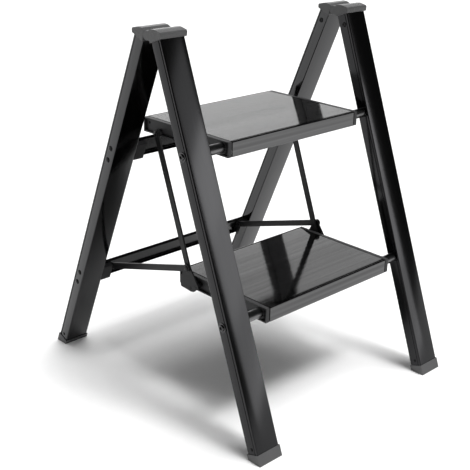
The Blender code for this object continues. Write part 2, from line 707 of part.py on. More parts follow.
def links(pivots):
    """The link on each side, from the lower board to the top one, and its pins."""
    for word, side in SIDES:
        low_pin = LOWER_AXLE + LINK_ARM
        top_pin = TOP_AXLE + LINK_ARM
        frame = Matrix.Translation(low_pin) @ Matrix.Rotation(-FRONT_TILT, 4, "X")
        start, end = across(side, LINK_IN, LINK_OUT)
        eye_bar("link_" + word, start, end, LINK_LENGTH, LINK_WIDTH, LINK_EYE_R, frame,
                pivots["link_" + word])
        tail = STEP_END - PIVOT_SINK
        pivot_pin("top_link_pin_" + word, side, tail, LINK_OUT + GAP, (top_pin.y, top_pin.z),
                  pivots["top"])
        pivot_pin("lower_link_pin_" + word, side, tail, BRACKET_OUT - GAP,
                  (low_pin.y, low_pin.z), pivots["lower"], headed=False)


def brackets(pivot):
    """The plate on each end of the lower board that the brace hangs on, and its bolt."""
    pin = LOWER_AXLE + LINK_ARM
    eye = BRACE_FRONT
    bolt = (pin.y + BRACKET_BOLT[0], pin.z + BRACKET_BOLT[1])
    foot_z = LOWER_STEP_HEIGHT - STEP_THICK
    tail_r = 0.003
    circles = [(pin.y, pin.z, PIVOT_BOSS_R), (bolt[0], bolt[1], 0.0050),
               (eye.y, eye.z, BRACKET_EYE_R),
               (pin.y + BRACKET_TAIL, foot_z + tail_r, tail_r),
               (pin.y + BRACKET_TAIL, pin.z + 0.012, tail_r)]
    for word, side in SIDES:
        name = "brace_bracket_" + word
        start, end = across(side, BRACKET_IN, BRACKET_OUT)
        thing = part(name, outline_mesh(name, hull_outline(circles), start, end), "steel",
                     None, pivot)
        holes = [(BRACKET_IN - 0.01, BRACKET_OUT + 0.01, PIVOT_R + FIT, (pin.y, pin.z)),
                 (BRACKET_IN - 0.01, BRACKET_OUT + 0.01, PIVOT_R + FIT, (eye.y, eye.z)),
                 (BRACKET_IN - 0.01, BRACKET_OUT + 0.01, BRACKET_BOLT_R + FIT, bolt)]
        drill(thing, name + "_holes", side, holes, None)
        name = "bracket_bolt_" + word
        profile = [(STEP_END - PIVOT_SINK, 0.0), (STEP_END - PIVOT_SINK, BRACKET_BOLT_R),
                   (STEP_END + GAP, BRACKET_BOLT_R), (STEP_END + GAP, BRACKET_COLLAR_R),
                   (BRACKET_IN - GAP, BRACKET_COLLAR_R), (BRACKET_IN - GAP, BRACKET_BOLT_R),
                   (BRACKET_OUT - GAP, BRACKET_BOLT_R), (BRACKET_OUT - GAP, 0.0)]
        profile = [(side * along, radius) for along, radius in profile]
        part(name, turned_mesh(name, profile, bolt), "steel", None, pivot)


def braces(fold, pivots):
    """The brace on each side, from the lower crossbar to the lower board, and its pins."""
    for word, side in SIDES:
        frame = (Matrix.Translation(BRACE_REAR)
                 @ Matrix.Rotation(BRACE_SLOPE - math.pi / 2, 4, "X"))
        start, end = across(side, BRACE_IN, BRACE_OUT)
        pivot = pivots["brace_" + word]
        eye_bar("brace_" + word, start, end, BRACE_LENGTH, BRACE_WIDTH, BRACE_EYE_R, frame, pivot)
        pivot_pin("brace_rear_pin_" + word, side, BLOCK_IN + BRACE_PIN_REACH, BRACE_IN - GAP,
                  (BRACE_REAR.y, BRACE_REAR.z), fold)
        pivot_pin("brace_front_pin_" + word, side, BRACE_IN + GAP, BRACE_OUT + GAP,
                  (BRACE_FRONT.y, BRACE_FRONT.z), pivot)


# ---------------------------------------------------------------- crossbars
def channel_outline(centre):
    """Section of a crossbar: a shallow channel open towards the front."""
    back = -BAR_BACK
    front = -BAR_BACK - BAR_DEPTH
    low = centre - BAR_HEIGHT / 2
    high = centre + BAR_HEIGHT / 2
    return [(back, low), (front, low), (front, low + BAR_WALL), (back - BAR_WALL, low + BAR_WALL),
            (back - BAR_WALL, high - BAR_WALL), (front, high - BAR_WALL), (front, high),
            (back, high)]


def crossbars(fold):
    """Both crossbars, the blocks in their ends and the rivets through the legs."""
    middle = -LEG_DEPTH / 2
    for level, centre in (("upper", UPPER_BAR_UP), ("lower", LOWER_BAR_UP)):
        name = level + "_crossbar"
        length = LEG_INNER - GAP
        mesh = outline_mesh(name, channel_outline(centre), -length, length)
        part(name, mesh, "anodised", REAR, fold)
        for word, side in SIDES:
            name = "%s_bar_block_%s" % (level, word)
            room = BAR_HEIGHT / 2 - BAR_WALL - GAP
            low, high = low_high(side, BLOCK_IN, LEG_INNER - GAP,
                                 (BLOCK_FRONT - LEG_DEPTH, -BAR_BACK - BAR_WALL - GAP),
                                 (centre - room, centre + room))
            block = part(name, box_mesh(name, low, high), "plastic", REAR, fold)
            rivets = [centre + way * BAR_RIVET_PITCH / 2 for way in (-1, 1)]
            reach = LEG_INNER - BAR_RIVET_REACH
            holes = [(reach - GAP, LEG_INNER + 0.01, BAR_RIVET_R + FIT, (middle, up))
                     for up in rivets]
            if level == "lower":
                holes.append((BLOCK_IN - 0.01, BLOCK_IN + BRACE_PIN_REACH + GAP, PIVOT_R + FIT,
                              (-BRACE_PIN_IN, centre + BRACE_PIN_UP)))
            drill(block, name + "_holes", side, holes, REAR)
            face = HALF + GAP
            for index, up in enumerate(rivets):
                label = "%s_bar_rivet_%s_%d" % (level, word, index + 1)
                profile = [(reach, 0.0), (reach, BAR_RIVET_R), (face, BAR_RIVET_R),
                           (face, BAR_RIVET_HEAD_R), (face + BAR_RIVET_HEAD * 0.4, BAR_RIVET_HEAD_R),
                           (face + BAR_RIVET_HEAD, BAR_RIVET_HEAD_R * 0.6),
                           (face + BAR_RIVET_HEAD, 0.0)]
                profile = [(side * along, radius) for along, radius in profile]
                part(label, turned_mesh(label, profile, (middle, up), 16), "steel", REAR, fold)


# ---------------------------------------------------------------- assembly
def build():
    fold = axis_empty("fold_axis", HINGE)
    pivots = {"top": axis_empty("top_step_axis", TOP_AXLE),
              "lower": axis_empty("lower_step_axis", LOWER_AXLE)}
    for word, _ in SIDES:
        pivots["link_" + word] = axis_empty("link_axis_" + word, LOWER_AXLE + LINK_ARM,
                                            pivots["lower"])
        pivots["brace_" + word] = axis_empty("brace_axis_" + word, BRACE_REAR, fold)
    legs_and_feet(fold)
    hinge_heads(fold)
    axles()
    boards(pivots)
    links(pivots)
    brackets(pivots["lower"])
    braces(fold, pivots)
    crossbars(fold)


build()
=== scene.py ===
"""Finishes and fine detail for a folding two-step stool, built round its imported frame."""

import json
import math

import bmesh
import bpy
from bpy.props import FloatProperty, FloatVectorProperty, PointerProperty
from bpy.types import Operator, Panel, PropertyGroup
from mathutils import Matrix, Vector


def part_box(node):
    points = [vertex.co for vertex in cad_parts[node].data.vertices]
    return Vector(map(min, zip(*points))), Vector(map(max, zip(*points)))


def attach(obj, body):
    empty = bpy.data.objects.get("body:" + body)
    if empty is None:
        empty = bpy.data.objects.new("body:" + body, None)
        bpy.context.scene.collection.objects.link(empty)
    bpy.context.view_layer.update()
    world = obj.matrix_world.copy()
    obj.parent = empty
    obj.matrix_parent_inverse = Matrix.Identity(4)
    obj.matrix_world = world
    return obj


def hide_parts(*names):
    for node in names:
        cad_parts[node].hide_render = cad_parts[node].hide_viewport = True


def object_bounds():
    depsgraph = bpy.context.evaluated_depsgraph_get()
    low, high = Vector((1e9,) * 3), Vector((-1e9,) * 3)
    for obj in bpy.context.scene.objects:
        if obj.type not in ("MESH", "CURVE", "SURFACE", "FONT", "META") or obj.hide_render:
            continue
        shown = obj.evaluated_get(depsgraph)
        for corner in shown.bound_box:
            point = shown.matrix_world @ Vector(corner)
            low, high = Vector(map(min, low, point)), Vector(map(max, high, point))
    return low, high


bl_info = {
    "name": "Folding Step Stool",
    "version": (1, 0, 0),
    "blender": (4, 5, 0),
    "location": "View3D > Sidebar > Step Stool",
    "description": "Adds the finishes and fine detail of a folding two-step stool",
    "category": "Object",
}

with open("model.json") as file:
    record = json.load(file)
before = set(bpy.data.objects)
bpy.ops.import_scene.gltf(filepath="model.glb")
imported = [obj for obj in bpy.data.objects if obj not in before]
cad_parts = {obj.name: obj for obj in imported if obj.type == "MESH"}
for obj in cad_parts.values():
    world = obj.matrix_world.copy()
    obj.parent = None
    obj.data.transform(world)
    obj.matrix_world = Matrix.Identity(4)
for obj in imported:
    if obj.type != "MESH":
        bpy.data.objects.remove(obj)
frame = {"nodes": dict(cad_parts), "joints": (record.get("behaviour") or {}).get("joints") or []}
CAD_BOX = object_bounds()

# ---------------------------------------------------------------- places from the frame
MM = 0.001
SIDES = (("left", -1), ("right", 1))
FRONT_TILT = math.radians(20.0)
REAR_TILT = math.radians(23.3)
FOOT_PROUD = 1.2 * MM       # how far a foot stands past its leg
FOOT_FLOOR = 13.5 * MM      # where a leg starts, above the sole of its foot
LEG_DEPTH = 22.5 * MM
HINGE_BEHIND = 5.7 * MM     # from a leg's inner face to the hinge line
SEAT = 0.05 * MM            # how deep a rivet's head is seated

FRONT_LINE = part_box("front_foot_left")[0].y + FOOT_PROUD / math.cos(FRONT_TILT)
REAR_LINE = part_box("rear_foot_left")[1].y - FOOT_PROUD / math.cos(REAR_TILT)
FRONT = Matrix.Translation((0, FRONT_LINE, 0)) @ Matrix.Rotation(-FRONT_TILT, 4, "X")
REAR = Matrix.Translation((0, REAR_LINE, 0)) @ Matrix.Rotation(REAR_TILT, 4, "X")
LEG_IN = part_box("front_leg_right")[0].x
LEG_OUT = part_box("front_leg_right")[1].x
FRONT_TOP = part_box("front_leg_right")[1].z / math.cos(FRONT_TILT)
REAR_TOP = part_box("rear_leg_right")[1].z / math.cos(REAR_TILT)
HINGE = Vector(next(j for j in frame["joints"] if j["name"] == "fold")["pos_m"])
AXLES = {"top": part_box("top_axle"), "lower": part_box("lower_axle")}
HINGE_UP = {                # how far up a leg the hinge is, by the way that the leg faces
    facing: (HINGE.z + (LEG_DEPTH + HINGE_BEHIND) * math.sin(tilt)) / math.cos(tilt)
    for facing, tilt in ((-1, FRONT_TILT), (1, REAR_TILT))}


def middle(node):
    """Centre of a node's box."""
    low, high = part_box(node)
    return (low + high) / 2


def across(side, inner, outer):
    """A span along X on one side of the stool, low end first."""
    return sorted((side * inner, side * outer))


# ---------------------------------------------------------------- settings
class StoolFinish(PropertyGroup):
    """Colours of the stool's materials."""

    frame_colour: FloatVectorProperty(
        name="Frame", description="Black anodised rear legs and crossbars", subtype="COLOR",
        default=(0.054, 0.054, 0.055), min=0, max=1)
    # Painted shade: the front legs have the same black anodised finish as the rear legs, and this
    # darker copy of it paints shade onto them, seen most on their side faces.
    front_leg_shaded_colour: FloatVectorProperty(
        name="Front legs", description="Black anodised front legs", subtype="COLOR",
        default=(0.031, 0.031, 0.032), min=0, max=1)
    deck_colour: FloatVectorProperty(
        name="Deck", description="Anodised boards", subtype="COLOR",
        default=(0.100, 0.100, 0.101), min=0, max=1)
    moulding_colour: FloatVectorProperty(
        name="Mouldings", description="Hinge heads and blocks", subtype="COLOR",
        default=(0.070, 0.070, 0.071), min=0, max=1)
    cap_colour: FloatVectorProperty(
        name="Caps", description="End caps of the boards", subtype="COLOR",
        default=(0.035, 0.035, 0.036), min=0, max=1)
    foot_colour: FloatVectorProperty(
        name="Feet", description="Moulded feet", subtype="COLOR",
        default=(0.075, 0.075, 0.076), min=0, max=1)
    strut_colour: FloatVectorProperty(
        name="Struts", description="Black steel links, braces and brackets", subtype="COLOR",
        default=(0.010, 0.010, 0.0105), min=0, max=1)
    rivet_colour: FloatVectorProperty(
        name="Rivets", description="Blackened rivets and screws", subtype="COLOR",
        default=(0.010, 0.010, 0.0105), min=0, max=1)
    tube_colour: FloatVectorProperty(
        name="Tubes", description="Satin tubes that the boards turn on", subtype="COLOR",
        default=(0.150, 0.150, 0.152), min=0, max=1)


class StoolDetail(PropertyGroup):
    """Sizes of the fine detail."""

    corner: FloatProperty(name="Leg corner", description="Radius of a leg's long corners",
                          default=1.5 * MM, subtype="DISTANCE", unit="LENGTH")
    groove_width: FloatProperty(name="Leg groove", description="Width of the groove in a leg",
                                default=2.6 * MM, subtype="DISTANCE", unit="LENGTH")
    groove_depth: FloatProperty(name="Leg groove depth", description="Depth of that groove",
                                default=0.9 * MM, subtype="DISTANCE", unit="LENGTH")
    groove_in: FloatProperty(name="Leg groove place",
                             description="From the leg's outer face to the groove",
                             default=3.2 * MM, subtype="DISTANCE", unit="LENGTH")
    ridge_pitch: FloatProperty(name="Deck line pitch", description="Between the deck's fine lines",
                               default=2.6 * MM, subtype="DISTANCE", unit="LENGTH")
    ridge_depth: FloatProperty(name="Deck line depth", description="Depth of those lines",
                               default=0.12 * MM, subtype="DISTANCE", unit="LENGTH")
    edge: FloatProperty(name="Moulded edge", description="Radius of the edges of a moulding",
                        default=0.8 * MM, subtype="DISTANCE", unit="LENGTH")
    plate_edge: FloatProperty(name="Plate edge", description="Radius of the edges of flat steel",
                              default=0.5 * MM, subtype="DISTANCE", unit="LENGTH")


class StoolStage(PropertyGroup):
    """Camera, floor and lights."""

    camera_place: FloatVectorProperty(name="Camera", description="Where the camera stands",
                                      default=(-1.0764, -1.1101, 0.8527), subtype="TRANSLATION",
                                      unit="LENGTH")
    camera_heading: FloatProperty(name="Heading", description="From +Y towards +X",
                                  default=math.radians(43.40), subtype="ANGLE", unit="ROTATION")
    camera_dip: FloatProperty(name="Dip", description="Below the horizon",
                              default=math.radians(21.69), subtype="ANGLE", unit="ROTATION")
    camera_roll: FloatProperty(name="Roll", description="Turn about the line of sight",
                               default=math.radians(0.756), subtype="ANGLE", unit="ROTATION")
    lens: FloatProperty(name="Lens", description="Focal length in millimetres", default=71.3)
    floor_colour: FloatVectorProperty(name="Floor", description="Plain pale floor",
                                      subtype="COLOR", default=(0.86, 0.86, 0.86), min=0, max=1)
    overhead: FloatProperty(name="Overhead light", description="Strength from above",
                            default=1.5)
    front_light: FloatProperty(name="Front light", description="Strength from the front",
                               default=3.2)
    card: FloatProperty(name="Front card", description="Power of each row of the card",
                        default=4.2)
    sky_back: FloatProperty(name="Back wall", description="Brightness behind the stool",
                            default=1.75)
    sky_rest: FloatProperty(name="Other walls", description="Brightness all round",
                            default=0.06)


# ---------------------------------------------------------------- materials
MATERIALS = {}


def grained(name, colour, roughness, metallic, spread, grain, stretch, bump, shine=0.5):
    """A material whose colour, gloss and relief all follow a noise.

    spread is how far the colour and the roughness stray, grain the noise scale,
    stretch the noise's scale on each axis, bump the height of the relief and shine
    how much a plain surface mirrors.
    """
    made = bpy.data.materials.new(name)
    made.use_nodes = True
    nodes = made.node_tree.nodes
    wire = made.node_tree.links.new
    shader = nodes["Principled BSDF"]
    shader.inputs["Metallic"].default_value = metallic
    shader.inputs["Specular IOR Level"].default_value = shine

    place = nodes.new("ShaderNodeTexCoord")
    scale = nodes.new("ShaderNodeMapping")
    scale.inputs["Scale"].default_value = stretch
    wire(place.outputs["Object"], scale.inputs["Vector"])

    fine = nodes.new("ShaderNodeTexNoise")
    fine.inputs["Scale"].default_value = grain
    fine.inputs["Detail"].default_value = 6.0
    fine.inputs["Roughness"].default_value = 0.6
    wire(scale.outputs["Vector"], fine.inputs["Vector"])

    broad = nodes.new("ShaderNodeTexNoise")
    broad.inputs["Scale"].default_value = 14.0
    broad.inputs["Detail"].default_value = 3.0
    wire(scale.outputs["Vector"], broad.inputs["Vector"])

    mixed = nodes.new("ShaderNodeMath")
    mixed.operation = "MULTIPLY_ADD"
    mixed.inputs[1].default_value = 0.5
    wire(broad.outputs["Fac"], mixed.inputs[0])
    half = nodes.new("ShaderNodeMath")
    half.operation = "MULTIPLY"
    half.inputs[1].default_value = 0.5
    wire(fine.outputs["Fac"], half.inputs[0])
    wire(half.outputs["Value"], mixed.inputs[2])

    ramp = nodes.new("ShaderNodeValToRGB")
    ramp.color_ramp.elements[0].position = 0.36
    ramp.color_ramp.elements[1].position = 0.64
    ramp.color_ramp.elements[0].color = (*(c * (1 - spread) for c in colour), 1)
    ramp.color_ramp.elements[1].color = (*(c * (1 + spread) for c in colour), 1)
    wire(mixed.outputs["Value"], ramp.inputs["Fac"])
    wire(ramp.outputs["Color"], shader.inputs["Base Color"])

    gloss = nodes.new("ShaderNodeMapRange")
    gloss.inputs["From Min"].default_value = 0.36
    gloss.inputs["From Max"].default_value = 0.64
    gloss.inputs["To Min"].default_value = roughness * (1 - spread)
    gloss.inputs["To Max"].default_value = roughness * (1 + spread)
    wire(mixed.outputs["Value"], gloss.inputs["Value"])
    wire(gloss.outputs["Result"], shader.inputs["Roughness"])

    relief = nodes.new("ShaderNodeBump")
    relief.inputs["Strength"].default_value = 0.6
    relief.inputs["Distance"].default_value = bump
    wire(fine.outputs["Fac"], relief.inputs["Height"])
    wire(relief.outputs["Normal"], shader.inputs["Normal"])
    return made


def make_materials(finish):
    """Every finish on the stool, by name."""
    if MATERIALS:
        return
    # Painted shade: the front legs take a darker copy of the rear legs' finish, which paints shade
    # onto them.
    MATERIALS["front"] = grained("black_anodised_front_leg_painted_shade", finish.front_leg_shaded_colour, 0.12, 1.0, 0.10,
                                 900.0, (1.0, 1.0, 0.02), 0.010 * MM)
    MATERIALS["rear"] = grained("black_anodised_rear_leg", finish.frame_colour, 0.12, 1.0, 0.10,
                                900.0, (1.0, 1.0, 0.02), 0.010 * MM)
    MATERIALS["bar"] = grained("black_anodised_bar", finish.frame_colour, 0.22, 1.0, 0.10,
                               900.0, (0.02, 1.0, 1.0), 0.010 * MM)
    MATERIALS["deck"] = grained("anodised_deck", finish.deck_colour, 0.07, 1.0, 0.36,
                                160.0, (0.008, 1.0, 1.0), 0.11 * MM)
    MATERIALS["tube"] = grained("satin_tube", finish.tube_colour, 0.34, 1.0, 0.12,
                                900.0, (0.03, 1.0, 1.0), 0.012 * MM)
    MATERIALS["moulding"] = grained("grained_moulding", finish.moulding_colour, 0.28, 0.0, 0.12,
                                    900.0, (1.0, 1.0, 1.0), 0.05 * MM, 0.25)
    MATERIALS["cap"] = grained("grained_cap", finish.cap_colour, 0.45, 0.0, 0.15,
                               900.0, (1.0, 1.0, 1.0), 0.05 * MM, 0.15)
    MATERIALS["foot"] = grained("moulded_foot", finish.foot_colour, 0.55, 0.0, 0.2,
                                700.0, (1.0, 1.0, 1.0), 0.08 * MM)
    MATERIALS["strut"] = grained("black_strut", finish.strut_colour, 0.36, 0.2, 0.2,
                                 500.0, (1.0, 1.0, 1.0), 0.03 * MM, 0.2)
    MATERIALS["rivet"] = grained("black_rivet", finish.rivet_colour, 0.25, 0.2, 0.2,
                                 600.0, (1.0, 1.0, 1.0), 0.02 * MM, 0.15)


# ---------------------------------------------------------------- mesh helpers
def add_piece(name, form, look, body, nodes=(), place=None, angle=30.0):
    """Turn a mesh in the making into a piece that rides on a body of the frame."""
    bmesh.ops.recalc_face_normals(form, faces=form.faces)
    mesh = bpy.data.meshes.new(name)
    form.to_mesh(mesh)
    form.free()
    mesh.materials.append(MATERIALS[look])
    mesh.shade_smooth()
    mesh.set_sharp_from_angle(angle=math.radians(angle))
    piece = bpy.data.objects.new(name, mesh)
    bpy.context.scene.collection.objects.link(piece)
    if place is not None:
        piece.matrix_world = place
    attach(piece, body)
    if nodes:
        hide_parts(*nodes)
    return piece


def soften(piece, width, segments=3, angle=30.0):
    """Round a piece's sharp edges."""
    edge = piece.modifiers.new("soft_edges", "BEVEL")
    edge.width = width
    edge.segments = segments
    edge.limit_method = "ANGLE"
    edge.angle_limit = math.radians(angle)
    edge.harden_normals = True
    return piece


def prism(form, outline, start, end, along="X"):
    """A closed solid with one outline all along it.

    Along X the outline is (y, z) pairs, and along Z it is (x, y) pairs.
    """
    rings = []
    for place in (start, end):
        if along == "X":
            rings.append([form.verts.new((place, a, b)) for a, b in outline])
        else:
            rings.append([form.verts.new((a, b, place)) for a, b in outline])
    count = len(outline)
    for index in range(count):
        after = (index + 1) % count
        form.faces.new((rings[0][index], rings[0][after], rings[1][after], rings[1][index]))
    form.faces.new(rings[0])
    form.faces.new(rings[1][::-1])


def turn(form, profile, centre, facets=40):
    """A solid turned about a line along X; the profile lists (x, radius)."""
    ring = [form.verts.new((x, 0, radius)) for x, radius in profile]
    edges = [form.edges.new(pair) for pair in zip(ring, ring[1:])]
    bmesh.ops.spin(form, geom=ring + edges, cent=(0, 0, 0), axis=(1, 0, 0),
                   angle=math.tau, steps=facets, use_merge=True)
    bmesh.ops.remove_doubles(form, verts=form.verts, dist=1e-7)
    bmesh.ops.translate(form, verts=form.verts, vec=(0, *centre))


def rounded(corners, steps=6):
    """An outline whose corners (a, b, radius) are rounded with arcs."""
    points = []
    for index, (a, b, radius) in enumerate(corners):
        here = Vector((a, b))
        before = Vector(corners[index - 1][:2]) - here
        after = Vector(corners[(index + 1) % len(corners)][:2]) - here
        if radius == 0:
            points.append((a, b))
            continue
        half = before.angle(after) / 2
        reach = radius / math.tan(half)
        spread = (before.normalized() + after.normalized()).normalized()
        centre = here + spread * (radius / math.sin(half))
        first = here + before.normalized() * reach - centre
        last = here + after.normalized() * reach - centre
        sweep = first.angle_signed(last)
        for step in range(steps + 1):
            points.append(tuple(centre + Matrix.Rotation(-sweep * step / steps, 2) @ first))
    return points


def copy_of(node):
    """The shape of a CAD node, with its flat faces whole again."""
    form = bmesh.new()
    form.from_mesh(frame["nodes"][node].data)
    bmesh.ops.remove_doubles(form, verts=form.verts, dist=1e-6)
    bmesh.ops.dissolve_limit(form, angle_limit=math.radians(0.5), verts=form.verts,
                             edges=form.edges)
    for edge in form.edges:
        edge.smooth = True
    return form


def refined(node, look, body, width, segments=3):
    """A CAD node's shape with softened edges and a finish of its own."""
    piece = add_piece(node + "_detail", copy_of(node), look, body, nodes=(node,))
    return soften(piece, width, segments)


def dome(face, height, radius, way):
    """Profile of a low round head that stands on a face, (x, radius) pairs."""
    rim = 0.25
    steps = 6
    rows = [(face, radius), (face + way * height * rim, radius)]
    for step in range(1, steps + 1):
        swing = math.pi / 2 * step / steps
        rows.append((face + way * height * (rim + (1 - rim) * math.sin(swing)),
                     radius * math.cos(swing) if step < steps else 0.0))
    return rows


# ---------------------------------------------------------------- pieces
class StoolOperator(Operator):
    """Shared settings of the operators that add pieces."""

    bl_options = {"REGISTER", "UNDO"}

    def execute(self, context):
        make_materials(context.scene.stool_finish)
        self.build(context.scene.stool_detail)
        return {"FINISHED"}


def leg_outline(side, facing, detail):
    """Section of a leg: a box with round corners and a groove in each side.

    facing is 1 where the leg's depth runs to +Y from its outer face, and -1 to -Y.
    """
    inner, outer = LEG_IN, LEG_OUT
    near = detail.groove_in
    far = near + detail.groove_width
    cut = detail.groove_depth
    soft = 0.35 * MM
    half = [(outer, 0.0, detail.corner), (outer, near, soft), (outer - cut, near + soft, soft),
            (outer - cut, far - soft, soft), (outer, far, soft),
            (outer, LEG_DEPTH, detail.corner)]
    other = [(inner + outer - x, y, radius) for x, y, radius in reversed(half)]
    return [(side * x, facing * y) for x, y in rounded(half + other, 5)]


class STOOL_OT_legs(StoolOperator):
    """Add the four box-section legs."""

    bl_idname = "stool.legs"
    bl_label = "Legs"

    def build(self, detail):
        for word, side in SIDES:
            for end, place, facing, top in (("front", FRONT, 1, FRONT_TOP),
                                            ("rear", REAR, -1, REAR_TOP)):
                name = "%s_leg_%s" % (end, word)
                form = bmesh.new()
                prism(form, leg_outline(side, facing, detail), FOOT_FLOOR, top, along="Z")
                add_piece(name + "_extrusion", form, end, end + "_frame",
                          nodes=(name,), place=place)


class STOOL_OT_feet(StoolOperator):
    """Add the four moulded feet and their rivets."""

    bl_idname = "stool.feet"
    bl_label = "Feet"

    def build(self, detail):
        for word, _ in SIDES:
            for end in ("front", "rear"):
                refined("%s_foot_%s" % (end, word), "foot", end + "_frame",
                        detail.edge)
                node = "%s_foot_rivet_%s" % (end, word)
                low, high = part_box(node)
                spot = middle(node)
                radius = (high.z - low.z) / 2
                shank = radius * 0.6
                tall = 1.0 * MM
                form = bmesh.new()
                rows = dome(low.x + tall, tall, radius, -1)[::-1]
                rows += [(low.x + tall, shank), (high.x - tall, shank)]
                rows += dome(high.x - tall, tall, radius, 1)
                turn(form, rows, (spot.y, spot.z))
                add_piece(node + "_detail", form, "rivet", end + "_frame",
                          nodes=(node,))


def head_outline(place, facing, clear):
    """Side outline of half a hinge head: a low lobe that runs down to the hinge."""
    skirt = HINGE_UP[facing] - 13.0 * MM
    outer = place @ Vector((0, facing * 2.8 * MM, skirt))
    inner = place @ Vector((0, -facing * (LEG_DEPTH + 1.5 * MM), skirt))
    high = CAD_BOX[1][2]
    eave = 3.2 * MM
    corners = [(outer.y, outer.z, 0.6 * MM),
               (outer.y + facing * 0.6 * MM, high - eave, eave),
               (HINGE.y + facing * 19.0 * MM, high + 0.25 * MM, 16 * MM),
               (HINGE.y + facing * 10.0 * MM, high - 0.6 * MM, 9 * MM)]
    steps = 8
    start, sweep = 62, 74
    for step in range(steps + 1):
        angle = math.radians(start - sweep * step / steps)
        corners.append((HINGE.y + facing * clear * math.cos(angle),
                        HINGE.z + clear * math.sin(angle), 0))
    corners += [(HINGE.y + facing * (clear + 0.6 * MM), inner.z + 2.5 * MM, 0),
                (inner.y, inner.z, 0.4 * MM)]
    return rounded(corners, 8)


class STOOL_OT_hinge_heads(StoolOperator):
    """Add both halves of the hinge heads, their pins and the rivets below them."""

    bl_idname = "stool.hinge_heads"
    bl_label = "Hinge heads"

    def build(self, detail):
        low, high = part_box("front_head_right")
        cheek = 13.0 * MM
        knuckle = 7.1 * MM
        seam = 0.3 * MM
        zones = {-1: ((low.x, low.x + cheek), (high.x - cheek, high.x)),
                 1: ((low.x + cheek + seam, high.x - cheek - seam),)}
        for word, side in SIDES:
            for end, place, facing in (("front", FRONT, -1), ("rear", REAR, 1)):
                name = "%s_head_%s" % (end, word)
                form = bmesh.new()
                prism(form, head_outline(place, facing, knuckle + seam),
                      *across(side, low.x, high.x))
                piece = add_piece(name + "_moulding", form, "moulding", end + "_frame",
                                  nodes=(name,), angle=40)
                for inner, outer in zones[facing]:
                    self.knuckle(piece, facing, knuckle, across(side, inner, outer))
                soften(piece, detail.edge)
                self.rivet(end, word, side, place, facing)
            pin = frame["nodes"]["hinge_pin_" + word].data
            pin.materials.clear()
            pin.materials.append(MATERIALS["rivet"])

    def knuckle(self, piece, facing, radius, span):
        """Join a round arm that reaches round the hinge pin to a head."""
        arm = bmesh.new()
        reach = HINGE.y + facing * 9.0 * MM
        points = [(reach, HINGE.z - radius), (reach, HINGE.z + radius)]
        steps = 16
        for step in range(steps + 1):
            angle = math.pi / 2 + facing * math.pi * step / steps
            points.append((HINGE.y + radius * math.cos(angle),
                           HINGE.z + radius * math.sin(angle)))
        prism(arm, points, *span)
        bmesh.ops.recalc_face_normals(arm, faces=arm.faces)
        tool_mesh = bpy.data.meshes.new("knuckle")
        arm.to_mesh(tool_mesh)
        arm.free()
        weld(piece, tool_mesh)

    def rivet(self, end, word, side, place, facing):
        """A rivet with a dished centre, in the inner face of a leg below its head."""
        below = 30 * MM
        spot = place @ Vector((0, -facing * LEG_DEPTH / 2, HINGE_UP[facing] - below))
        radius = 4.4 * MM
        height = 1.3 * MM
        rows = [(0.0, radius), (height * 0.4, radius), (height, radius * 0.8),
                (height, radius * 0.45), (height * 0.3, radius * 0.35), (height * 0.3, 0.0)]
        form = bmesh.new()
        turn(form, [(side * (LEG_IN + SEAT - x), r) for x, r in [(0.0, 0.0)] + rows],
             (spot.y, spot.z))
        add_piece("%s_head_rivet_%s" % (end, word), form, "rivet", end + "_frame")


def weld(piece, tool_mesh):
    """Join a mesh to a piece for good, and merge the slivers that this leaves."""
    tool = bpy.data.objects.new("tool", tool_mesh)
    bpy.context.scene.collection.objects.link(tool)
    change = piece.modifiers.new("join", "BOOLEAN")
    change.operation = "UNION"
    change.solver = "EXACT"
    change.object = tool
    bpy.context.view_layer.update()
    graph = bpy.context.evaluated_depsgraph_get()
    mesh = bpy.data.meshes.new_from_object(piece.evaluated_get(graph))
    piece.modifiers.remove(change)
    form = bmesh.new()
    form.from_mesh(mesh)
    bmesh.ops.remove_doubles(form, verts=form.verts, dist=0.02 * MM)
    bmesh.ops.dissolve_degenerate(form, edges=form.edges, dist=0.01 * MM)
    form.to_mesh(mesh)
    form.free()
    piece.data = mesh
    bpy.data.objects.remove(tool)
    bpy.data.meshes.remove(tool_mesh)


class STOOL_OT_axles(StoolOperator):
    """Add the tubes that the boards turn on, with a washer and button at each end."""

    bl_idname = "stool.axles"
    bl_label = "Axles"

    def build(self, detail):
        for level, (low, high) in AXLES.items():
            centre = ((low.y + high.y) / 2, (low.z + high.z) / 2)
            radius = (high.z - low.z) / 2
            bore = radius - 2.0 * MM
            lip = 0.4 * MM
            form = bmesh.new()
            rows = [(low.x, bore), (low.x, radius - lip), (low.x + lip, radius),
                    (high.x - lip, radius), (high.x, radius - lip), (high.x, bore),
                    (low.x, bore)]
            turn(form, rows, centre, 64)
            add_piece(level + "_axle_tube", form, "tube", "front_frame",
                      nodes=(level + "_axle",))
            for word, side in SIDES:
                node = "%s_axle_stub_%s" % (level, word)
                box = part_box(node)
                tip = max(abs(box[0].x), abs(box[1].x))
                face = LEG_OUT + SEAT
                wide = (box[1].z - box[0].z) / 2
                root = face - 8 * MM
                shank = 5.5 * MM
                washer = face + 1.1 * MM
                dish = tip - 1.6 * MM
                rows = [(root, 0.0), (root, shank), (face, shank), (face, wide),
                        (washer - lip, wide), (washer, wide - lip), (washer, wide * 0.66),
                        (tip - 0.5 * MM, wide * 0.60), (tip, wide * 0.50), (tip, wide * 0.30),
                        (dish, wide * 0.24), (dish, 0.0)]
                form = bmesh.new()
                turn(form, [(side * x, r) for x, r in rows], centre)
                add_piece(node + "_detail", form, "bar", "front_frame",
                          nodes=(node,))


